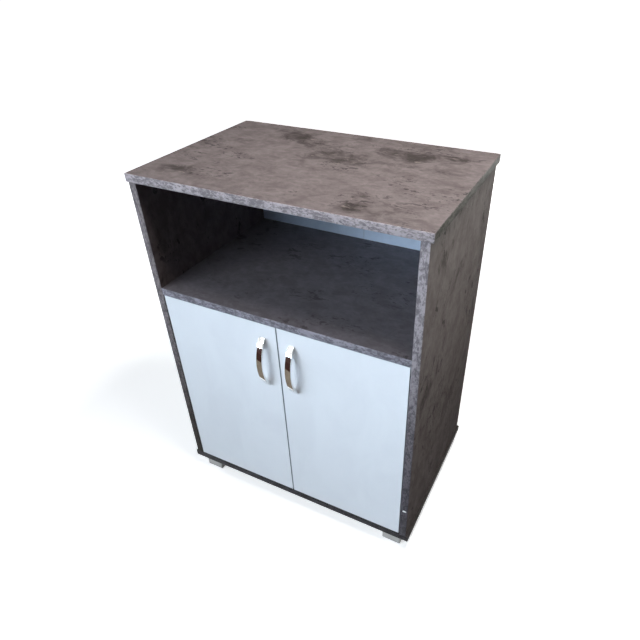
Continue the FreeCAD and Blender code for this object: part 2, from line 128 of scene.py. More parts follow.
class NodeSheet:
    """The shader nodes of one material, laid down with short calls."""

    def __init__(self, name: str) -> None:
        """Start a material with its principled shader.

        Args:
            name: the material's name.
        """
        self.material = bpy.data.materials.new(name)
        self.material.use_nodes = True
        self.tree = self.material.node_tree
        self.shader = self.tree.nodes["Principled BSDF"]

    def add(self, kind: str, **settings: object) -> bpy.types.Node:
        """Add one node and set its properties.

        Args:
            kind: the node's type.
            settings: properties of the node.

        Returns:
            The new node.
        """
        node = self.tree.nodes.new(kind)
        for key, value in settings.items():
            setattr(node, key, value)
        return node

    def feed(self, socket: Socket, value: object) -> None:
        """Link a socket to another one, or set its value.

        Args:
            socket: the socket.
            value: the other socket, or the value.
        """
        if isinstance(value, Socket):
            self.tree.links.new(value, socket)
        else:
            socket.default_value = value

    def place(self, shift: Place = (0, 0, 0), stretch: Place = (1, 1, 1)) -> Socket:
        """Give the point on the object in metres, moved and stretched.

        Args:
            shift: the move, in metres.
            stretch: the factor along each axis.

        Returns:
            The point's socket.
        """
        start = self.add("ShaderNodeTexCoord").outputs["Object"]
        mapping = self.add("ShaderNodeMapping")
        self.feed(mapping.inputs["Vector"], start)
        self.feed(mapping.inputs["Location"], shift)
        self.feed(mapping.inputs["Scale"], stretch)
        return mapping.outputs["Vector"]

    def noise(self, place: Socket, scale: float, detail: float, rough: float = 0.5, warp: float = 0.0,
              coloured: bool = False) -> Socket:
        """Add soft noise.

        Args:
            place: where it is read.
            scale: its cells for each metre.
            detail: its finer layers.
            rough: how strong the finer layers are.
            warp: how much it swirls.
            coloured: gives three values instead of one.

        Returns:
            Its value, around 0.5.
        """
        node = self.add("ShaderNodeTexNoise")
        for key, value in (("Vector", place), ("Scale", scale), ("Detail", detail),
                           ("Roughness", rough), ("Distortion", warp)):
            self.feed(node.inputs[key], value)
        return node.outputs["Color" if coloured else "Fac"]

    def span(self, value: Socket, low: float, high: float, to_low: float = 0.0,
             to_high: float = 1.0) -> Socket:
        """Map a value smoothly from one range to another.

        Args:
            value: the value.
            low: where the first range starts.
            high: where the first range ends.
            to_low: what it gives at or below low.
            to_high: what it gives at or above high.

        Returns:
            The mapped value.
        """
        node = self.add("ShaderNodeMapRange", interpolation_type="SMOOTHSTEP")
        for key, number in (("Value", value), ("From Min", low), ("From Max", high),
                            ("To Min", to_low), ("To Max", to_high)):
            self.feed(node.inputs[key], number)
        return node.outputs["Result"]

    def maths(self, operation: Sum, first: object, second: object = 0.0) -> Socket:
        """Work out one sum of two values.

        Args:
            operation: what is worked out.
            first: the first value.
            second: the second value.

        Returns:
            The result.
        """
        node = self.add("ShaderNodeMath", operation=operation.value)
        self.feed(node.inputs[0], first)
        self.feed(node.inputs[1], second)
        return node.outputs["Value"]

    def weigh(self, *layers: tuple[object, float]) -> Socket:
        """Add up values, each by its share.

        Args:
            layers: each value with its share.

        Returns:
            Their sum.
        """
        parts = [self.maths(Sum.MULTIPLY, value, share) for value, share in layers]
        total = parts[0]
        for part in parts[1:]:
            total = self.maths(Sum.ADD, total, part)
        return total

    def blend(self, factor: object, first: object, second: object, mode: Mix = Mix.OVER) -> Socket:
        """Mix two colours.

        Args:
            factor: how much of the second shows.
            first: the colour underneath.
            second: the colour on top.
            mode: how they mix.

        Returns:
            The mixed colour.
        """
        node = self.add("ShaderNodeMix", data_type="RGBA", blend_type=mode.value)
        self.feed(node.inputs["Factor"], factor)
        self.feed(node.inputs[6], first)
        self.feed(node.inputs[7], second)
        return node.outputs[2]

    def coordinate(self, reading: Reading, axis: Axis) -> Socket:
        """Give one part of the point's place, in metres, or of the way it faces, from -1 to 1.

        Args:
            reading: which of them.
            axis: the axis.

        Returns:
            The part along that axis.
        """
        parts = self.add("ShaderNodeSeparateXYZ")
        self.feed(parts.inputs["Vector"], self.add("ShaderNodeTexCoord").outputs[reading.value])
        return parts.outputs[axis.value]

    def finish(self, colour: object, rough: object, height: Socket | None = None, depth: float = 0.0,
               **fixed: float) -> Material:
        """Give the shader its colour, roughness and relief.

        Args:
            colour: the base colour.
            rough: the roughness.
            height: the relief, 0 to 1.
            depth: how deep the relief is, in metres.
            fixed: other inputs of the shader, with underscores for spaces.

        Returns:
            The finished material.
        """
        self.feed(self.shader.inputs["Base Color"], colour)
        self.feed(self.shader.inputs["Roughness"], rough)
        for key, value in fixed.items():
            self.shader.inputs[key.replace("_", " ")].default_value = value
        if height is not None:
            bump = self.add("ShaderNodeBump")
            self.feed(bump.inputs["Height"], height)
            bump.inputs["Distance"].default_value = depth
            self.feed(self.shader.inputs["Normal"], bump.outputs["Normal"])
        return self.material


@dataclass(frozen=True)
class Smear:
    """One soft dark smear of the print, as an oval on the face of a board, in metres.

    A level board is seen from above, with X across and Y deep. An upright one is seen from its side,
    with Y across and Z up.
    """

    across: float
    deep: float
    half_across: float
    half_deep: float
    weight: float = 1.0
    turn: float = 0.0


@dataclass(frozen=True)
class ConcreteLaminate:
    """Board with a printed concrete face: clouds, smears, pits and pale flecks on warm grey.

    Its rear edge has no band and shows the raw chips.
    """

    name: str
    grain: Axis
    shift: Place
    smears: tuple[Smear, ...] = ()
    pale: Colour = shade(152, 142, 142)
    middle: Colour = shade(130, 119, 118)
    dark: Colour = shade(86, 76, 74)
    pit: Colour = shade(42, 34, 33)
    fleck: Colour = shade(170, 157, 152)
    gloss: float = 0.2
    smear_share: float = 0.17
    smear_rim: float = 1.7
    smear_core: float = 0.3
    push: Place = (0.12, 0.07, 0.07)

    def stretched(self, sheet: NodeSheet, factor: float) -> Socket:
        """The point on the print, squeezed along the streaks."""
        across = (factor, 1.0, 1.0) if self.grain is Axis.ACROSS else (1.0, 1.0, factor)
        return sheet.place(shift=self.shift, stretch=across)

    def warped(self, sheet: NodeSheet) -> Socket:
        """Push the point on the board about, so that what is drawn there gets ragged outlines.

        Args:
            sheet: the material's nodes.

        Returns:
            The moved point.
        """
        push = sheet.noise(self.stretched(sheet, 0.7), 22.0, 6.0, 0.7, coloured=True)
        scaled = sheet.add("ShaderNodeVectorMath", operation="MULTIPLY_ADD")
        sheet.feed(scaled.inputs[0], push)
        scaled.inputs[1].default_value = self.push
        scaled.inputs[2].default_value = tuple(-part / 2 for part in self.push)
        moved = sheet.add("ShaderNodeVectorMath", operation="ADD")
        sheet.feed(moved.inputs[0], sheet.place())
        sheet.feed(moved.inputs[1], scaled.outputs["Vector"])
        return moved.outputs["Vector"]

    def smeared(self, sheet: NodeSheet) -> Socket:
        """Draw the chosen smears.

        Args:
            sheet: the material's nodes.

        Returns:
            How dark they make the print, from 0 to 1.
        """
        total: object = 0.0
        warped = self.warped(sheet)
        for smear in self.smears:
            oval = sheet.add("ShaderNodeMapping", vector_type="TEXTURE")
            sheet.feed(oval.inputs["Vector"], warped)
            for key, first, second, rest in (("Location", smear.across, smear.deep, 0.0),
                                             ("Rotation", 0.0, 0.0, math.radians(smear.turn)),
                                             ("Scale", smear.half_across, smear.half_deep, THROUGH)):
                level = self.grain is Axis.ACROSS
                sheet.feed(oval.inputs[key], (first, second, rest) if level else (rest, first, second))
            away = sheet.add("ShaderNodeVectorMath", operation="LENGTH")
            sheet.feed(away.inputs[0], oval.outputs["Vector"])
            weight = sheet.span(away.outputs["Value"], self.smear_rim, self.smear_core, 0.0, smear.weight)
            total = sheet.maths(Sum.MAXIMUM, total, weight)
        return total

    @cache
    def material(self) -> Material:
        """Build the material once.

        Returns:
            The material.
        """
        sheet = NodeSheet(self.name)
        wide = sheet.noise(self.stretched(sheet, 0.7), 5.0, 4.0, 0.5, 0.4)
        blotch = sheet.noise(self.stretched(sheet, 0.75), 26.0, 7.0, 0.66, 0.5)
        mottle = sheet.noise(self.stretched(sheet, 0.8), 80.0, 5.0, 0.62, 0.6)
        streak = sheet.noise(self.stretched(sheet, 0.14), 130.0, 4.0, 0.6, 0.3)
        layers = [(wide, 0.35), (blotch, 0.38), (mottle, 0.27)]
        if self.smears:
            layers.insert(0, (self.smeared(sheet), self.smear_share))
        cloud = sheet.span(sheet.weigh(*layers), 0.52, 0.74)
        ground = sheet.blend(sheet.span(blotch, 0.40, 0.62, 0.0, 0.5), self.pale, self.middle)
        deep = sheet.blend(sheet.span(blotch, 0.36, 0.60), self.middle, self.dark)
        colour = sheet.blend(cloud, ground, deep)
        for layer, strength in ((mottle, 0.8), (streak, 0.22)):
            grey = sheet.blend(sheet.span(layer, 0.32, 0.68), shade(106, 106, 106), shade(148, 148, 148))
            colour = sheet.blend(strength, colour, grey, Mix.SOFT)
        flecks = sheet.noise(self.stretched(sheet, 0.45), 70.0, 3.0, 0.6, 0.4)
        near_cloud = sheet.span(cloud, 0.12, 0.55)
        fleck_mask = sheet.maths(Sum.MULTIPLY, sheet.span(flecks, 0.38, 0.32), near_cloud)
        colour = sheet.blend(sheet.maths(Sum.MULTIPLY, fleck_mask, 0.4), colour, self.fleck)
        pits = self.pits(sheet, near_cloud)
        colour = sheet.blend(sheet.maths(Sum.MULTIPLY, pits, 0.8), colour, self.pit)
        dust = sheet.noise(sheet.place(shift=self.shift), 1300.0, 2.0, 0.6)
        grit = sheet.blend(dust, shade(96, 96, 96), shade(160, 160, 160))
        colour = sheet.blend(0.7, colour, grit, Mix.SOFT)
        chips = sheet.noise(sheet.place(stretch=(1, 1, 0.5)), 330.0, 4.0, 0.7, 0.4)
        raw = sheet.blend(sheet.span(chips, 0.35, 0.65), shade(120, 92, 62), shade(186, 156, 116))
        rearward = sheet.coordinate(Reading.FACING, Axis.DEEP)
        colour = sheet.blend(sheet.span(rearward, 0.85, 0.95), colour, raw)
        worn = sheet.maths(Sum.ADD, blotch, sheet.maths(Sum.MULTIPLY, dust, 0.3))
        rough = sheet.span(worn, 0.3, 1.0, 0.56, 0.72)
        height = sheet.maths(Sum.SUBTRACT, sheet.maths(Sum.MULTIPLY, dust, 0.35), pits)
        return sheet.finish(colour, rough, height, 0.10 * MM, Specular_IOR_Level=self.gloss)

    def pits(self, sheet: NodeSheet, near_cloud: Socket) -> Socket:
        """Draw ragged short dark pits that stand in groups, and a few more in the clouds.

        Args:
            sheet: the material's nodes.
            near_cloud: how near a cloud is.

        Returns:
            Where the pits are, from 0 to 1.
        """
        groups = sheet.noise(self.stretched(sheet, 0.8), 11.0, 2.0, 0.5, 0.2)
        where = sheet.maths(Sum.MAXIMUM, sheet.span(groups, 0.52, 0.60),
                            sheet.maths(Sum.MULTIPLY, near_cloud, 0.45))
        coarse = sheet.noise(self.stretched(sheet, 0.5), 66.0, 4.0, 0.6, 0.6)
        fine = sheet.noise(self.stretched(sheet, 0.5), 170.0, 3.0, 0.55, 0.4)
        both = sheet.maths(Sum.MAXIMUM, sheet.span(coarse, 0.57, 0.62),
                           sheet.span(fine, 0.59, 0.64, 0.0, 0.8))
        return sheet.maths(Sum.MULTIPLY, both, where)


@dataclass(frozen=True)
class SpeckledBand:
    """Glued edge band, printed with fine pale and dark speckles.

    An upright band can be darker towards the floor: painted shade, which multiplies the print there.
    """

    name: str
    grain: Axis
    pale: Colour
    dark: Colour = shade(96, 92, 98)
    grime: Colour | None = None
    grime_bottom: float = 0.05
    grime_top: float = 0.90
    chip: Place | None = None
    chip_squash: float = 1.7
    chip_radius: float = 8.4 * MM
    chip_rim: float = 0.8 * MM
    chip_ragged: float = 6.0 * MM
    gloss: float = 0.06

    @cache
    def material(self) -> Material:
        """Build the material once.

        Returns:
            The material.
        """
        sheet = NodeSheet(self.name)
        place = sheet.place(stretch=tuple(0.5 if axis is self.grain else 1.0 for axis in Axis))
        fine = sheet.noise(place, 260.0, 4.0, 0.65, 0.5)
        wide = sheet.noise(place, 60.0, 4.0, 0.6, 0.3)
        tone = sheet.weigh((fine, 0.55), (wide, 0.45))
        colour = sheet.blend(sheet.span(tone, 0.58, 0.42), self.pale, self.dark)
        specks = sheet.noise(place, 210.0, 2.0, 0.5, 0.4)
        patches = sheet.span(wide, 0.42, 0.58)
        spots = sheet.maths(Sum.MULTIPLY, sheet.span(specks, 0.63, 0.70), patches)
        colour = sheet.blend(sheet.maths(Sum.MULTIPLY, spots, 0.7), colour, shade(52, 52, 62))
        # painted shade: the print darkens towards the floor
        if self.grime is not None:
            up = sheet.coordinate(Reading.PLACE, Axis.UPRIGHT)
            unshaded = sheet.span(up, self.grime_bottom, self.grime_top)
            colour = sheet.blend(1.0, colour, sheet.blend(unshaded, self.grime, WHITE), Mix.TIMES)
        if self.chip is not None:
            colour = sheet.blend(self.chipped(sheet), colour, shade(238, 238, 236))
        rough = sheet.span(fine, 0.3, 0.7, 0.36, 0.52)
        return sheet.finish(colour, rough, fine, 0.08 * MM, Specular_IOR_Level=self.gloss)

    def chipped(self, sheet: NodeSheet) -> Socket:
        """Draw one small knock, where the white paper under the print shows.

        Args:
            sheet: the material's nodes.

        Returns:
            Where the knock is, from 0 to 1.
        """
        near = sheet.add("ShaderNodeVectorMath", operation="DISTANCE")
        sheet.feed(near.inputs[0], sheet.place(stretch=(1, 1, self.chip_squash)))
        near.inputs[1].default_value = (self.chip[0], self.chip[1], self.chip[2] * self.chip_squash)
        ragged = sheet.maths(Sum.MULTIPLY, sheet.noise(sheet.place(), 260.0, 3.0), self.chip_ragged)
        away = sheet.maths(Sum.ADD, near.outputs["Value"], ragged)
        return sheet.span(away, self.chip_radius + self.chip_rim, self.chip_radius)


@dataclass(frozen=True)
class WhiteLaminate:
    """Plain satin laminate of the doors, with a faint orange-peel press texture and wiped smudges. Its
    sideways faces, the edges in the gaps, are darker: painted shade.
    """

    name: str
    tint: Colour = shade(234, 236, 240)
    shadow: Colour = shade(222, 224, 229)
    edge: Colour = shade(152, 158, 166)

    @cache
    def material(self) -> Material:
        """Build the material once.

        Returns:
            The material.
        """
        sheet = NodeSheet(self.name)
        smudge = sheet.noise(sheet.place(stretch=(1, 1, 0.5)), 9.0, 5.0, 0.6, 0.8)
        peel = sheet.noise(sheet.place(), 650.0, 2.0)
        colour = sheet.blend(sheet.span(smudge, 0.35, 0.7, 0.0, 0.35), self.tint, self.shadow)
        # painted shade: faces that look sideways, the doors' edges in the gaps, are darkened
        level = sheet.maths(Sum.ABSOLUTE, sheet.coordinate(Reading.FACING, Axis.DEEP))
        colour = sheet.blend(sheet.span(level, 0.6, 0.2), colour, self.edge)
        rough = sheet.span(smudge, 0.3, 0.7, 0.30, 0.40)
        return sheet.finish(colour, rough, peel, 0.03 * MM, Specular_IOR_Level=0.5)


@dataclass(frozen=True)
class PaintedHardboard:
    """Thin fibre sheet, painted pale grey on its front and left brown on its back and edges."""

    name: str = "painted_hardboard"
    paint: Colour = shade(176, 190, 210)
    fibre_dark: Colour = shade(74, 52, 37)
    fibre_pale: Colour = shade(112, 82, 60)

    @cache
    def material(self) -> Material:
        """Build the material once.

        Returns:
            The material.
        """
        sheet = NodeSheet(self.name)
        fibres = sheet.noise(sheet.place(stretch=(1, 1, 0.4)), 420.0, 5.0, 0.7, 1.2)
        mottle = sheet.noise(sheet.place(), 30.0, 4.0, 0.6)
        raw = sheet.blend(sheet.span(fibres, 0.35, 0.65), self.fibre_dark, self.fibre_pale)
        raw = sheet.blend(sheet.span(mottle, 0.4, 0.7, 0.0, 0.3), raw, shade(60, 42, 30))
        coat = sheet.blend(sheet.span(mottle, 0.35, 0.65, 0.0, 0.25), self.paint, shade(150, 165, 188))
        rearward = sheet.coordinate(Reading.FACING, Axis.DEEP)
        colour = sheet.blend(sheet.span(rearward, -0.9, -0.95), raw, coat)
        return sheet.finish(colour, sheet.span(fibres, 0.3, 0.7, 0.55, 0.75), fibres, 0.10 * MM)


@dataclass(frozen=True)
class PlatedMetal:
    """Plated metal with fine polishing marks."""

    name: str
    tint: Colour
    rough_low: float
    rough_high: float
    stretch: Place = (1.0, 1.0, 1.0)
    depth: float = 0.01 * MM

    @cache
    def material(self) -> Material:
        """Build the material once.

        Returns:
            The material.
        """
        sheet = NodeSheet(self.name)
        marks = sheet.noise(sheet.place(stretch=self.stretch), 900.0, 4.0, 0.6, 0.3)
        haze = sheet.noise(sheet.place(), 60.0, 3.0)
        both = sheet.weigh((marks, 0.6), (haze, 0.4))
        rough = sheet.span(both, 0.35, 0.65, self.rough_low, self.rough_high)
        tint = sheet.blend(sheet.span(haze, 0.3, 0.7, 0.0, 0.12), self.tint, shade(150, 150, 150))
        return sheet.finish(tint, rough, marks, self.depth, Metallic=1.0)


@dataclass(frozen=True)
class MouldedPlastic:
    """Matt moulded plastic with a fine eroded grain and scuffs near the floor."""

    name: str = "moulded_plastic"
    tint: Colour = shade(186, 181, 176)
    scuff_height: float = 12.0 * MM

    @cache
    def material(self) -> Material:
        """Build the material once.

        Returns:
            The material.
        """
        sheet = NodeSheet(self.name)
        grain = sheet.noise(sheet.place(), 1500.0, 3.0, 0.6)
        scuff = sheet.noise(sheet.place(stretch=(1, 1, 3)), 90.0, 5.0, 0.65)
        low = sheet.span(sheet.coordinate(Reading.PLACE, Axis.UPRIGHT), self.scuff_height, 0.0)
        worn = sheet.maths(Sum.MULTIPLY, sheet.span(scuff, 0.45, 0.65), low)
        colour = sheet.blend(sheet.maths(Sum.MULTIPLY, worn, 0.5), self.tint, shade(120, 120, 122))
        rough = sheet.span(scuff, 0.3, 0.7, 0.48, 0.62)
        return sheet.finish(colour, rough, grain, 0.05 * MM)


@dataclass(frozen=True)
class TurnedBeech:
    """Turned beech with short dark rays along its length."""

    name: str = "turned_beech"

    @cache
    def material(self) -> Material:
        """Build the material once.

        Returns:
            The material.
        """
        sheet = NodeSheet(self.name)
        rays = sheet.noise(sheet.place(stretch=(1, 1, 0.15)), 700.0, 4.0, 0.6)
        colour = sheet.blend(sheet.span(rays, 0.35, 0.65), shade(168, 122, 78), shade(206, 168, 122))
        return sheet.finish(colour, 0.6, rays, 0.10 * MM)


def rest_all() -> None:
    """Leave edit mode and select nothing."""
    if bpy.context.object is not None and bpy.context.object.mode != "OBJECT":
        bpy.ops.object.mode_set(mode="OBJECT")
    bpy.ops.object.select_all(action="DESELECT")


def take(obj: Piece) -> None:
    """Select one object alone and make it the active one.

    Args:
        obj: the object.
    """
    rest_all()
    obj.select_set(True)
    bpy.context.view_layer.objects.active = obj


def settle(obj: Piece) -> None:
    """Put the object at the origin, with its place in its mesh."""
    take(obj)
    bpy.ops.object.transform_apply(location=True, rotation=True, scale=True)


@contextmanager
def editing(obj: Piece, part: Part) -> Iterator[bmesh.types.BMesh]:
    """Open an object in edit mode with nothing selected.

    Args:
        obj: the object.
        part: what is selected there.

    Yields:
        The mesh being edited.
    """
    take(obj)
    bpy.ops.object.mode_set(mode="EDIT")
    bpy.ops.mesh.select_mode(type=part.value)
    bpy.ops.mesh.select_all(action="DESELECT")
    yield bmesh.from_edit_mesh(obj.data)
    bpy.ops.object.mode_set(mode="OBJECT")


def pick(obj: Piece, shape: bmesh.types.BMesh, kind: Part, test: Callable[[object], bool]) -> None:
    """Select exactly the faces or edges that pass a test.

    Args:
        obj: the object in edit mode.
        shape: its mesh.
        kind: faces or edges.
        test: says which to select.
    """
    bpy.ops.mesh.select_all(action="DESELECT")
    for part in shape.edges if kind is Part.EDGES else shape.faces:
        if test(part):
            part.select_set(True)
    bmesh.update_edit_mesh(obj.data)


def round_off(obj: Piece, width: float, segments: int, test: Callable[[object], bool],
              clamp: bool = False) -> None:
    """Round the edges of an object that pass a test.

    Args:
        obj: the object.
        width: how wide they are rounded, in metres.
        segments: the faces across each.
        test: says which edges.
        clamp: keeps the new faces from crossing.
    """
    with editing(obj, Part.EDGES) as shape:
        pick(obj, shape, Part.EDGES, test)
        bpy.ops.mesh.bevel(offset=width, segments=segments, affect="EDGES", clamp_overlap=clamp)


def block(name: str, low: Vector, high: Vector) -> Piece:
    """A plain block between two corners, to be shaped further.

    Args:
        name: its name.
        low: its lowest corner.
        high: its highest corner.

    Returns:
        The block.
    """
    rest_all()
    bpy.ops.mesh.primitive_cube_add(size=1.0, location=(low + high) / 2, scale=high - low)
    made = bpy.context.object
    made.name = name
    settle(made)
    return made


def join(name: str, parts: list[Piece]) -> Piece:
    """Join finished pieces into one object.

    Args:
        name: its name.
        parts: the pieces.

    Returns:
        The one object.
    """
    take(parts[0])
    for part in parts:
        part.select_set(True)
    if len(parts) > 1:
        bpy.ops.object.join()
    parts[0].name = name
    return parts[0]


def smooth(obj: Piece, angle: float = 35.0) -> None:
    """Shade an object smooth, with edges kept where its faces turn by more than the angle."""
    take(obj)
    bpy.ops.object.shade_smooth_by_angle(angle=math.radians(angle))


def dress(obj: Piece, material: Material) -> None:
    """Give a new piece one material."""
    obj.data.materials.clear()
    obj.data.materials.append(material)


def dress_node(node: str, material: Material) -> None:
    """Give a node of the frame one material in each of its slots.

    Args:
        node: the node.
        material: the material.
    """
    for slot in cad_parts[node].material_slots:
        slot.material = material
    log.info("%s is dressed in %s", node, material.name)


def pair(node: str, model: Callable[[str], Piece]) -> dict[str, Piece]:
    """Model the piece for a left node and copy it to the place of the right one.

    Args:
        node: the left node.
        model: models its piece.

    Returns:
        The piece for each of the two nodes.
    """
    other = node.replace("left", "right")
    piece = model(node)
    take(piece)
    bpy.ops.object.duplicate(linked=False)
    made = bpy.context.object
    made.name = piece.name.replace("left", "right")
    bpy.ops.transform.translate(value=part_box(other)[0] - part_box(node)[0])
    settle(made)
    return {node: piece, other: made}


def stand_for(piece: Piece, node: str, body: str) -> None:
    """Let a finished piece ride on a body in place of a node.

    Args:
        piece: the piece.
        node: the node that it replaces.
        body: the body that it rides on.
    """
    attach(piece, body)
    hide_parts(node)
    log.info("%s stands for %s: %d faces", piece.name, node, len(piece.data.polygons))


def eased(node: str, width: float, segments: int = 2) -> Piece:
    """A copy of a node with its sharp edges eased.

    Args:
        node: the node.
        width: how wide the easing is, in metres.
        segments: the faces across it.

    Returns:
        The eased copy, shaded smooth.
    """
    rest_all()
    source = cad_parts[node]
    copy = bpy.data.objects.new(node + "_eased", source.data.copy())
    bpy.context.scene.collection.objects.link(copy)
    with editing(copy, Part.CORNERS):
        bpy.ops.mesh.select_all(action="SELECT")
        bpy.ops.mesh.remove_doubles(threshold=TOUCH)
        bpy.ops.mesh.dissolve_limited(angle_limit=math.radians(FLAT_ANGLE))
    bevel = copy.modifiers.new("ease", "BEVEL")
    bevel.width = width
    bevel.segments = segments
    bevel.limit_method = "ANGLE"
    bevel.angle_limit = math.radians(SHARP_ANGLE)
    bevel.miter_outer = "MITER_ARC"
    take(copy)
    bpy.ops.object.modifier_apply(modifier="ease")
    smooth(copy)
    return copy


def on_plane(part: object, axis: int, value: float) -> bool:
    """Whether every corner of an edge or a face lies on one plane."""
    return all(abs(vert.co[axis] - value) < TOUCH for vert in part.verts)


def on_hull(part: object, low: Vector, high: Vector, *axes: int) -> bool:
    """Whether an edge or a face lies on an outer plane of a box, across one of the axes."""
    return any(on_plane(part, axis, corner[axis]) for axis in axes for corner in (low, high))


@dataclass
class Carcass:
    """The concrete-look boards and the bands on their edges."""

    band_radius: float = 0.55 * MM
    band_segments: int = 3
    band_angle: float = 50.0
    chip_place: Place = (0.3268, -0.20915, 0.162)
    top_smears: tuple[Smear, ...] = (
        Smear(-0.116, 0.150, 0.105, 0.030, 1.0, -22.0),
        Smear(0.030, 0.062, 0.095, 0.045, 0.9, -8.0),
        Smear(0.160, 0.140, 0.080, 0.028, 1.0),
        Smear(0.262, 0.156, 0.065, 0.014, 0.9),
        Smear(0.229, 0.066, 0.050, 0.012, 0.8),
        Smear(-0.298, 0.006, 0.040, 0.040, 0.8),
        Smear(-0.251, -0.141, 0.050, 0.024, 0.9),
        Smear(-0.255, 0.080, 0.042, 0.026, 0.6),
        Smear(0.171, -0.140, 0.020, 0.052, 0.8),
        Smear(0.232, -0.140, 0.036, 0.040, 0.4),
    )
    right_smears: tuple[Smear, ...] = (
        Smear(-0.150, 0.503, 0.065, 0.035, 0.9, 20.0),
        Smear(-0.110, 0.818, 0.055, 0.014, 0.8, 10.0),
        Smear(0.020, 0.728, 0.040, 0.020, 0.7, 20.0),
        Smear(0.050, 0.330, 0.050, 0.060, 0.5, 20.0),
    )

    def board_finishes(self) -> dict[str, ConcreteLaminate]:
        """Choose the print of each board, with the smears that the photograph shows. The bottom board and
        the fixed shelf get darker copies of the print: painted shade.

        Returns:
            The finish for each board's node.
        """
        across, upright = Axis.ACROSS, Axis.UPRIGHT
        board = ConcreteLaminate
        return {
            "top_panel": board("concrete_top", across, (0.31, 0.12, 0.4), self.top_smears),
            # painted shade: the bottom board and the fixed shelf in the open recess get darker copies of
            # the print, the shelf's bluer
            "bottom_panel": board("concrete_bottom", across, (1.7, 0.6, 0.9), pale=shade(98, 93, 92),
                                  middle=shade(82, 77, 76), dark=shade(58, 53, 51)),
            "fixed_shelf": board("concrete_shelf", across, (2.9, 1.4, 0.2), pale=shade(145, 139, 145),
                                 middle=shade(124, 117, 121), dark=shade(81, 75, 79), gloss=1.0),
            "inner_shelf": board("concrete_inner_shelf", across, (3.3, 2.2, 0.7)),
            "left_side": board("concrete_left", upright, (0.2, 3.1, 0.3)),
            "right_side": board("concrete_right", upright, (0.8, 2.4, 1.1), self.right_smears),
        }

    def band_finishes(self) -> dict[str, SpeckledBand]:
        """Choose the finish of each band. The bands are lit and shaded copies of one print: painted shade
        makes the lower ones and the top's ends darker, and the upright ones darker at their foot.

        Returns:
            The finish for each band's node.
        """
        across, deep, upright = Axis.ACROSS, Axis.DEEP, Axis.UPRIGHT
        band = SpeckledBand
        return {
            # painted shade: each band's tones follow the light where it sits, darkest near the floor
            "top_front_band": band("band_top", across, shade(170, 160, 162), shade(116, 109, 111)),
            "top_end_bands": band("band_top_ends", deep, shade(108, 103, 101), shade(67, 64, 63)),
            "fixed_shelf_band": band("band_shelf", across, shade(147, 143, 151), shade(100, 96, 102)),
            "inner_shelf_band": band("band_inner_shelf", across, shade(150, 146, 156)),
            "bottom_front_band": band("band_bottom", across, shade(70, 67, 68), shade(44, 41, 43)),
            "bottom_end_bands": band("band_bottom_ends", deep, shade(70, 67, 64), shade(44, 42, 41)),
            "left_side_band": band("band_left", upright, shade(138, 129, 130), shade(92, 86, 87),
                                   grime=shade(104, 99, 88), grime_top=0.60),
            "right_side_band": band("band_right", upright, shade(159, 151, 154), shade(107, 101, 104),
                                    grime=shade(143, 143, 150), chip=self.chip_place),
        }

    def strip(self, name: str, low: Vector, high: Vector, axis: int, outer: float) -> Piece:
        """One band, with its outer corners scraped round.

        Args:
            name: its name.
            low: its lowest corner.
            high: its highest corner.
            axis: the axis that it faces along.
            outer: where its outer face lies on that axis.

        Returns:
            The band.
        """
        made = block(name, low, high)
        round_off(made, self.band_radius, self.band_segments, lambda edge: on_plane(edge, axis, outer))
        smooth(made, self.band_angle)
        return made

    def front_strip(self, node: str) -> Piece:
        """The band on the front of one board."""
        low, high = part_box(node)
        return self.strip(node + "_rounded", low, high, 1, low.y)

    def end_strips(self, node: str) -> Piece:
        """Model the two bands on the ends of one board, as one piece.

        Args:
            node: the bands' node.

        Returns:
            The piece.
        """
        low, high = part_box(node)
        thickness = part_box("left_side_band")[1].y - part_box("left_side_band")[0].y
        inner_left = Vector((low.x + thickness, high.y, high.z))
        inner_right = Vector((high.x - thickness, low.y, low.z))
        return join(node + "_rounded", [self.strip(node + "_left", low, inner_left, 0, low.x),
                                        self.strip(node + "_right", inner_right, high, 0, high.x)])

    def bands(self) -> dict[str, Piece]:
        """Model the bands of every board. The right side's is a copy of the left side's.

        Returns:
            The piece for each band's node.
        """
        fronts = ("top_front_band", "bottom_front_band", "fixed_shelf_band", "inner_shelf_band")
        made = {node: self.front_strip(node) for node in fronts}
        made |= pair("left_side_band", self.front_strip)
        made |= {node: self.end_strips(node) for node in ("top_end_bands", "bottom_end_bands")}
        return made

    def build(self) -> None:
        """Dress the boards and model their bands."""
        for node, finish in self.board_finishes().items():
            dress_node(node, finish.material())
        finishes = self.band_finishes()
        for node, piece in self.bands().items():
            dress(piece, finishes[node].material())
            stand_for(piece, node, CABINET)


@dataclass
class Back:
    """The two thin sheets nailed on the back."""

    finish: PaintedHardboard = PaintedHardboard()

    def build(self) -> None:
        """Dress the sheets."""
        for side in SIDES:
            dress_node("back_sheet_" + side, self.finish.material())


@dataclass
class Doors:
    """The two white doors, each with a band round its edge."""

    band_radius: float = 0.4 * MM
    band_segments: int = 3
    band_angle: float = 50.0

    def ring(self, node: str) -> Piece:
        """Model the band as one ring round its door, with scraped corners.

        Args:
            node: the band's node.

        Returns:
            The ring.
        """
        low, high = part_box(node)
        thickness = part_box("left_door")[0].z - low.z
        ring = block(node + "_rounded", low, high)
        with editing(ring, Part.FACES) as shape:
            pick(ring, shape, Part.FACES, lambda face: on_hull(face, low, high, 1))
            bpy.ops.mesh.inset(thickness=thickness, depth=0.0, use_individual=True)
            bpy.ops.mesh.bridge_edge_loops()
        round_off(ring, self.band_radius, self.band_segments,
                  lambda edge: on_hull(edge, low, high, 1) and on_hull(edge, low, high, 0, 2))
        smooth(ring, self.band_angle)
        return ring

    def build(self) -> None:
        """Dress the doors, model the left one's band and copy it to the right one."""
        for node, ring in pair("left_door_bands", self.ring).items():
            door = node.removesuffix("_bands")
            dress_node(door, WhiteLaminate("door_white").material())
            dress(ring, WhiteLaminate("door_band_white").material())
            stand_for(ring, node, door)


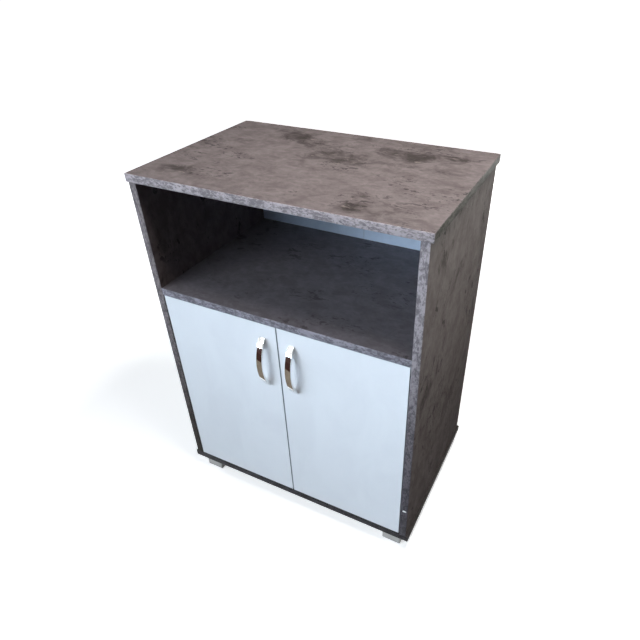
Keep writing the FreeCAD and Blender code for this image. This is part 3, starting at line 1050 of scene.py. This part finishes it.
@dataclass
class BowHandles:
    """Two chromed straps bent into bows, thin in the middle, deeper at the feet and blunt at the ends."""

    foot: float = 12.0 * MM
    strap: float = 3.0 * MM
    tip: float = 3.0 * MM
    outer_round: float = 0.45 * MM
    inner_round: float = 0.4 * MM
    steps: int = 256
    round_segments: int = 5
    margin: float = 4.0 * MM
    near: float = 0.05 * MM
    smooth_angle: float = 40.0
    finish: PlatedMetal = PlatedMetal("polished_chrome", shade(238, 238, 238), 0.045, 0.085,
                                      (1, 1, 0.06), 0.004 * MM)

    def arc_radius(self, half: float, rise: float) -> float:
        """The radius of an arc from half its chord and its rise."""
        return (half * half + rise * rise) / (2 * rise)

    def drum(self, name: str, half: float, rise: float, width: float, top: Vector) -> Piece:
        """A round drum lying across the handle, whose front is one face of the bow.

        Args:
            name: its name.
            half: half a chord of its front.
            rise: how far the front bulges over that chord.
            width: its length along X.
            top: the foremost point of the front.

        Returns:
            The drum.
        """
        radius = self.arc_radius(half, rise)
        rest_all()
        bpy.ops.mesh.primitive_cylinder_add(vertices=self.steps, radius=radius, depth=width,
                                            location=top + Vector((0, radius, 0)),
                                            rotation=(0, math.radians(90), 0))
        made = bpy.context.object
        made.name = name
        settle(made)
        return made

    def bow(self, node: str) -> Piece:
        """Model one bow in the box of its node.

        Args:
            node: the node that it is for.

        Returns:
            The bow.
        """
        low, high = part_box(node)
        top = Vector(((low.x + high.x) / 2, low.y, (low.z + high.z) / 2))
        half = (high.z - low.z) / 2
        reach = high.y - low.y
        width = high.x - low.x
        bow = self.drum(node + "_bow", half, reach - self.tip, width, top)
        core = self.drum(node + "_core", half - self.foot, reach - self.strap, width + self.margin,
                         top + Vector((0, self.strap, 0)))
        cut = bow.modifiers.new("hollow", "BOOLEAN")
        cut.object = core
        cut.operation = "DIFFERENCE"
        cut.solver = "EXACT"
        take(bow)
        bpy.ops.object.modifier_apply(modifier="hollow")
        bpy.data.objects.remove(core)
        for corner, outward in ((high, (0, 1, 0)), (high, (0, 0, 1)), (low, (0, 0, -1))):
            with editing(bow, Part.CORNERS):
                bpy.ops.mesh.select_all(action="SELECT")
                bpy.ops.mesh.bisect(plane_co=corner, plane_no=outward, use_fill=True, clear_outer=True)
        self.round_edges(bow, low, high)
        smooth(bow, self.smooth_angle)
        return bow

    def round_edges(self, bow: Piece, low: Vector, high: Vector) -> None:
        """Round the long edges: wide on the outside of the bow, narrow on its inside.

        Args:
            bow: the bow.
            low: its lowest corner.
            high: its highest corner.
        """
        half = (high.z - low.z) / 2
        outer = self.arc_radius(half, high.y - low.y - self.tip)
        centre = Vector((low.x, low.y + outer, (low.z + high.z) / 2))

        def is_outside(edge: bmesh.types.BMEdge) -> bool:
            """Say whether an edge lies on the outer arc or on a blunt end."""
            off = (edge.verts[0].co + edge.verts[1].co) / 2 - centre
            return math.hypot(off.y, off.z) > outer - self.near or abs(off.z) > half - self.near

        def is_long(edge: bmesh.types.BMEdge) -> bool:
            """Say whether an edge runs along a flank, off the door."""
            return on_hull(edge, low, high, 0) and not on_plane(edge, 1, high.y)

        def is_tip(edge: bmesh.types.BMEdge) -> bool:
            """Say whether an edge lies across a blunt end, off the door."""
            level = abs(edge.verts[0].co.y - edge.verts[1].co.y) < TOUCH
            return level and on_hull(edge, low, high, 2) and not on_plane(edge, 1, high.y)

        round_off(bow, self.outer_round, self.round_segments,
                  lambda edge: is_tip(edge) or is_long(edge) and is_outside(edge), clamp=True)
        round_off(bow, self.inner_round, self.round_segments,
                  lambda edge: is_long(edge) and not is_outside(edge), clamp=True)

    def build(self) -> None:
        """Model the left bow, copy it to the right and let both stand for their nodes."""
        for node, bow in pair("left_handle", self.bow).items():
            dress(bow, self.finish.material())
            stand_for(bow, node, node.replace("handle", "door"))


@dataclass
class Feet:
    """The four hollow moulded feet."""

    easing: float = 0.8 * MM
    segments: int = 3
    finish: MouldedPlastic = MouldedPlastic()

    def build(self) -> None:
        """Ease the edges of the feet."""
        for row in ("front", "rear"):
            for side in SIDES:
                node = "foot_%s_%s" % (row, side)
                piece = eased(node, self.easing, self.segments)
                dress(piece, self.finish.material())
                stand_for(piece, node, CABINET)


@dataclass
class Hinges:
    """The nickel-plated concealed hinges."""

    easing: float = 0.35 * MM
    finish: PlatedMetal = PlatedMetal("satin_nickel", shade(196, 194, 188), 0.22, 0.34)

    def build(self) -> None:
        """Ease the edges of plates, arms, links and cups, and dress the pins."""
        owners = {"plate": CABINET, "arm": CABINET, "link": "{}_hinge_links", "cup": "{}_door"}
        for piece_name, owner in owners.items():
            for side in SIDES:
                for level in LEVELS:
                    node = "hinge_%s_%s_%s" % (piece_name, side, level)
                    piece = eased(node, self.easing)
                    dress(piece, self.finish.material())
                    stand_for(piece, node, owner.format(side))
        for node in ("hinge_arm_pins", "left_cup_pins", "right_cup_pins"):
            dress_node(node, self.finish.material())


@dataclass
class Fasteners:
    """Screws, cams, nails, pegs and dowels."""

    zinc: PlatedMetal = PlatedMetal("bright_zinc", shade(200, 202, 206), 0.24, 0.38)
    casting: PlatedMetal = PlatedMetal("bronzed_casting", shade(84, 77, 73), 0.36, 0.5, depth=0.03 * MM)
    beech: TurnedBeech = TurnedBeech()

    def build(self) -> None:
        """Dress every fastener."""
        finishes = {
            self.zinc: ("top_cam_bolts", "shelf_cam_bolts", "bottom_screws", "back_nails", "shelf_pegs",
                        "foot_screws", "hinge_plate_screws", "hinge_arm_screws", "left_handle_screws",
                        "right_handle_screws", "left_cup_screws", "right_cup_screws"),
            self.casting: ("top_cam_locks", "shelf_cam_locks"),
            self.beech: ("wood_dowels",),
        }
        for finish, nodes in finishes.items():
            for node in nodes:
                dress_node(node, finish.material())


@dataclass(frozen=True)
class Softbox:
    """One soft lamp of the studio, as a glowing rectangle."""

    name: str
    place: Place
    target: Place
    width: float
    height: float
    power: float
    tint: Colour
    gloss: float = 1.0
    beam: float = 180.0

    def build(self) -> None:
        """Hang the lamp and point it at its target."""
        data = bpy.data.lights.new(self.name, "AREA")
        data.shape = "RECTANGLE"
        data.size = self.width
        data.size_y = self.height
        data.energy = self.power
        data.color = self.tint[:3]
        data.specular_factor = self.gloss
        data.spread = math.radians(self.beam)
        made = bpy.data.objects.new(self.name, data)
        made.location = self.place
        aim = Vector(self.place) - Vector(self.target)
        made.rotation_euler = aim.to_track_quat("Z", "Y").to_euler()
        bpy.context.scene.collection.objects.link(made)


@dataclass(frozen=True)
class Card:
    """A dark card on the set, which only shiny pieces see."""

    name: str
    centre: Place
    width: float
    height: float
    colour: Colour
    turn: Place = (0.0, 0.0, 0.0)

    def build(self) -> None:
        """Put the card on the set."""
        rest_all()
        bpy.ops.mesh.primitive_plane_add(size=1.0, location=self.centre)
        made = bpy.context.object
        made.name = self.name
        made.scale = (self.width, self.height, 1.0)
        made.rotation_euler = Euler([math.radians(angle) for angle in self.turn])
        settle(made)
        for kind in ("camera", "diffuse", "shadow", "transmission"):
            setattr(made, "visible_" + kind, False)
        sheet = NodeSheet(self.name)
        glow = sheet.add("ShaderNodeEmission")
        mottle = sheet.noise(sheet.place(), 2.5, 3.0, 0.5)
        sheet.feed(glow.inputs["Color"], sheet.blend(sheet.span(mottle, 0.3, 0.7, 0.0, 0.3), self.colour,
                                                     shade(30, 24, 22)))
        sheet.feed(sheet.tree.nodes["Material Output"].inputs["Surface"], glow.outputs["Emission"])
        dress(made, sheet.material)


@dataclass
class Studio:
    """A pale floor, soft light and the camera where the photograph was taken."""

    floor_size: float = 40.0
    floor_glow: float = 0.55
    floor_near: float = 0.9
    floor_far: float = 2.8
    camera_place: Place = (0.57881, -0.99605, 1.30183)
    camera_turn: Place = (53.518, 0.757, 26.512)
    focal_length: float = 30.463
    sensor: float = 36.0
    camera_shift: tuple[float, float] = (-0.0425, 0.0270)
    sky: Colour = (0.045, 0.045, 0.050, 1.0)
    lamps: tuple[Softbox, ...] = (
        Softbox("window_near", (-1.40, -7.80, 1.70), WINDOW_AIM, 2.8, 1.8, 8.3, WINDOW_LIGHT, beam=36.0),
        Softbox("window_middle", (-4.50, -6.50, 1.70), WINDOW_AIM, 2.8, 1.8, 22.5, WINDOW_LIGHT, beam=36.0),
        Softbox("window_far", (-6.60, -4.00, 1.70), WINDOW_AIM, 2.8, 1.8, 17.5, WINDOW_LIGHT, beam=36.0),
        Softbox("bay", (-1.0, -2.7, 2.80), (0.15, -0.2, 0.7), 2.4, 1.4, 39.5, (0.80, 0.91, 1.0, 1.0),
                0.3),
        Softbox("ceiling", (0.55, -0.06, 2.20), (0.25, -0.05, 0.8), 0.9, 0.3, 27.5,
                (1.0, 0.95, 0.92, 1.0), 0.3),
        Softbox("doorway", (2.3, 0.7, 2.10), (0.34, 0.05, 1.15), 0.7, 0.7, 3.8, (0.88, 1.0, 0.92, 1.0),
                0.3, 40.0),
        Softbox("rear", (-1.1, 2.6, 0.55), (0.0, 0.2, 0.45), 1.6, 0.7, 26.0, (1.0, 0.98, 0.96, 1.0), 0.0),
    )
    spark_from: Place = (-0.42, -0.80, 0.36)
    spark_strength: float = 0.22
    spark_spread: float = 7.0
    cards: tuple[Card, ...] = (
        Card("near_card", (-0.6, -0.77, 0.002), 3.6, 1.02, shade(150, 138, 124)),
        Card("far_card", (-1.8, -3.2, 0.002), 6.0, 3.84, shade(70, 46, 42)),
        Card("low_card", (-1.8, -5.12, 0.62), 6.0, 1.24, shade(84, 58, 54), (90.0, 0.0, 0.0)),
        Card("right_card", (1.38, 1.17, 0.002), 2.04, 2.86, shade(74, 72, 68)),
        Card("rear_card", (-1.4, 3.2, 2.0), 6.0, 4.0, shade(84, 78, 76), (90.0, 0.0, 20.0)),
    )

    def seen_white(self, tree: bpy.types.NodeTree) -> Socket:
        """Tell what is looked at from what only scatters light.

        Args:
            tree: the node tree.

        Returns:
            One where the camera, a mirror or glass looks, and nought for scattered light.
        """
        path = tree.nodes.new("ShaderNodeLightPath")
        result = path.outputs["Is Camera Ray"]
        for name in ("Is Glossy Ray", "Is Transmission Ray"):
            either = tree.nodes.new("ShaderNodeMath")
            either.operation = "MAXIMUM"
            tree.links.new(result, either.inputs[0])
            tree.links.new(path.outputs[name], either.inputs[1])
            result = either.outputs["Value"]
        return result

    def floor(self) -> None:
        """A wide plain floor, white to the camera and grey to scattered light."""
        rest_all()
        bpy.ops.mesh.primitive_plane_add(size=self.floor_size, location=(0, 0, 0))
        made = bpy.context.object
        made.name = "floor"
        sheet = NodeSheet("floor_white")
        seen = self.seen_white(sheet.tree)
        colour = sheet.blend(seen, shade(72, 66, 60), shade(250, 250, 250))
        sheet.feed(sheet.shader.inputs["Emission Color"], WHITE)
        away = sheet.add("ShaderNodeVectorMath", operation="LENGTH")
        sheet.feed(away.inputs[0], sheet.place())
        glow = sheet.span(away.outputs["Value"], self.floor_near, self.floor_far, self.floor_glow, 1.0)
        sheet.feed(sheet.shader.inputs["Emission Strength"], sheet.maths(Sum.MULTIPLY, seen, glow))
        dress(made, sheet.finish(colour, 0.9, Specular_IOR_Level=0.0))

    def world(self) -> None:
        """White where it is seen, and a dim light on the rest."""
        world = bpy.data.worlds.new("studio")
        bpy.context.scene.world = world
        world.use_nodes = True
        tree = world.node_tree
        mix = tree.nodes.new("ShaderNodeMix")
        mix.data_type = "RGBA"
        tree.links.new(self.seen_white(tree), mix.inputs["Factor"])
        mix.inputs[6].default_value = self.sky
        mix.inputs[7].default_value = WHITE
        background = tree.nodes["Background"]
        tree.links.new(mix.outputs[2], background.inputs["Color"])
        background.inputs["Strength"].default_value = 1.0

    def spark(self) -> None:
        """A weak far lamp beside the window, which gives the handles their crisp shadows."""
        data = bpy.data.lights.new("spark", "SUN")
        data.energy = self.spark_strength
        data.angle = math.radians(self.spark_spread)
        made = bpy.data.objects.new("spark", data)
        made.rotation_euler = Vector(self.spark_from).to_track_quat("Z", "Y").to_euler()
        bpy.context.scene.collection.objects.link(made)

    def camera(self) -> None:
        """The camera, at the photograph's place and angle."""
        data = bpy.data.cameras.new("camera")
        data.sensor_width = self.sensor
        data.lens = self.focal_length
        data.shift_x, data.shift_y = self.camera_shift
        made = bpy.data.objects.new("camera", data)
        made.location = self.camera_place
        made.rotation_euler = Euler([math.radians(angle) for angle in self.camera_turn])
        bpy.context.scene.collection.objects.link(made)
        bpy.context.scene.camera = made

    def build(self) -> None:
        """Set up floor, light and camera."""
        self.floor()
        self.world()
        for part in (*self.lamps, *self.cards):
            part.build()
        self.spark()
        self.camera()
        bpy.context.scene.view_settings.view_transform = "Standard"


def main() -> None:
    """Build the cabinet's looks piece by piece."""
    logging.basicConfig(level=logging.INFO, format="%(name)s: %(message)s")
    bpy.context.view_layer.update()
    parts = [Carcass(), Back(), Doors(), BowHandles(), Feet(), Hinges(), Fasteners(), Studio()]
    for part in parts:
        part.build()
        log.info("%s built", type(part).__name__)


if __name__ == "__main__":
    main()
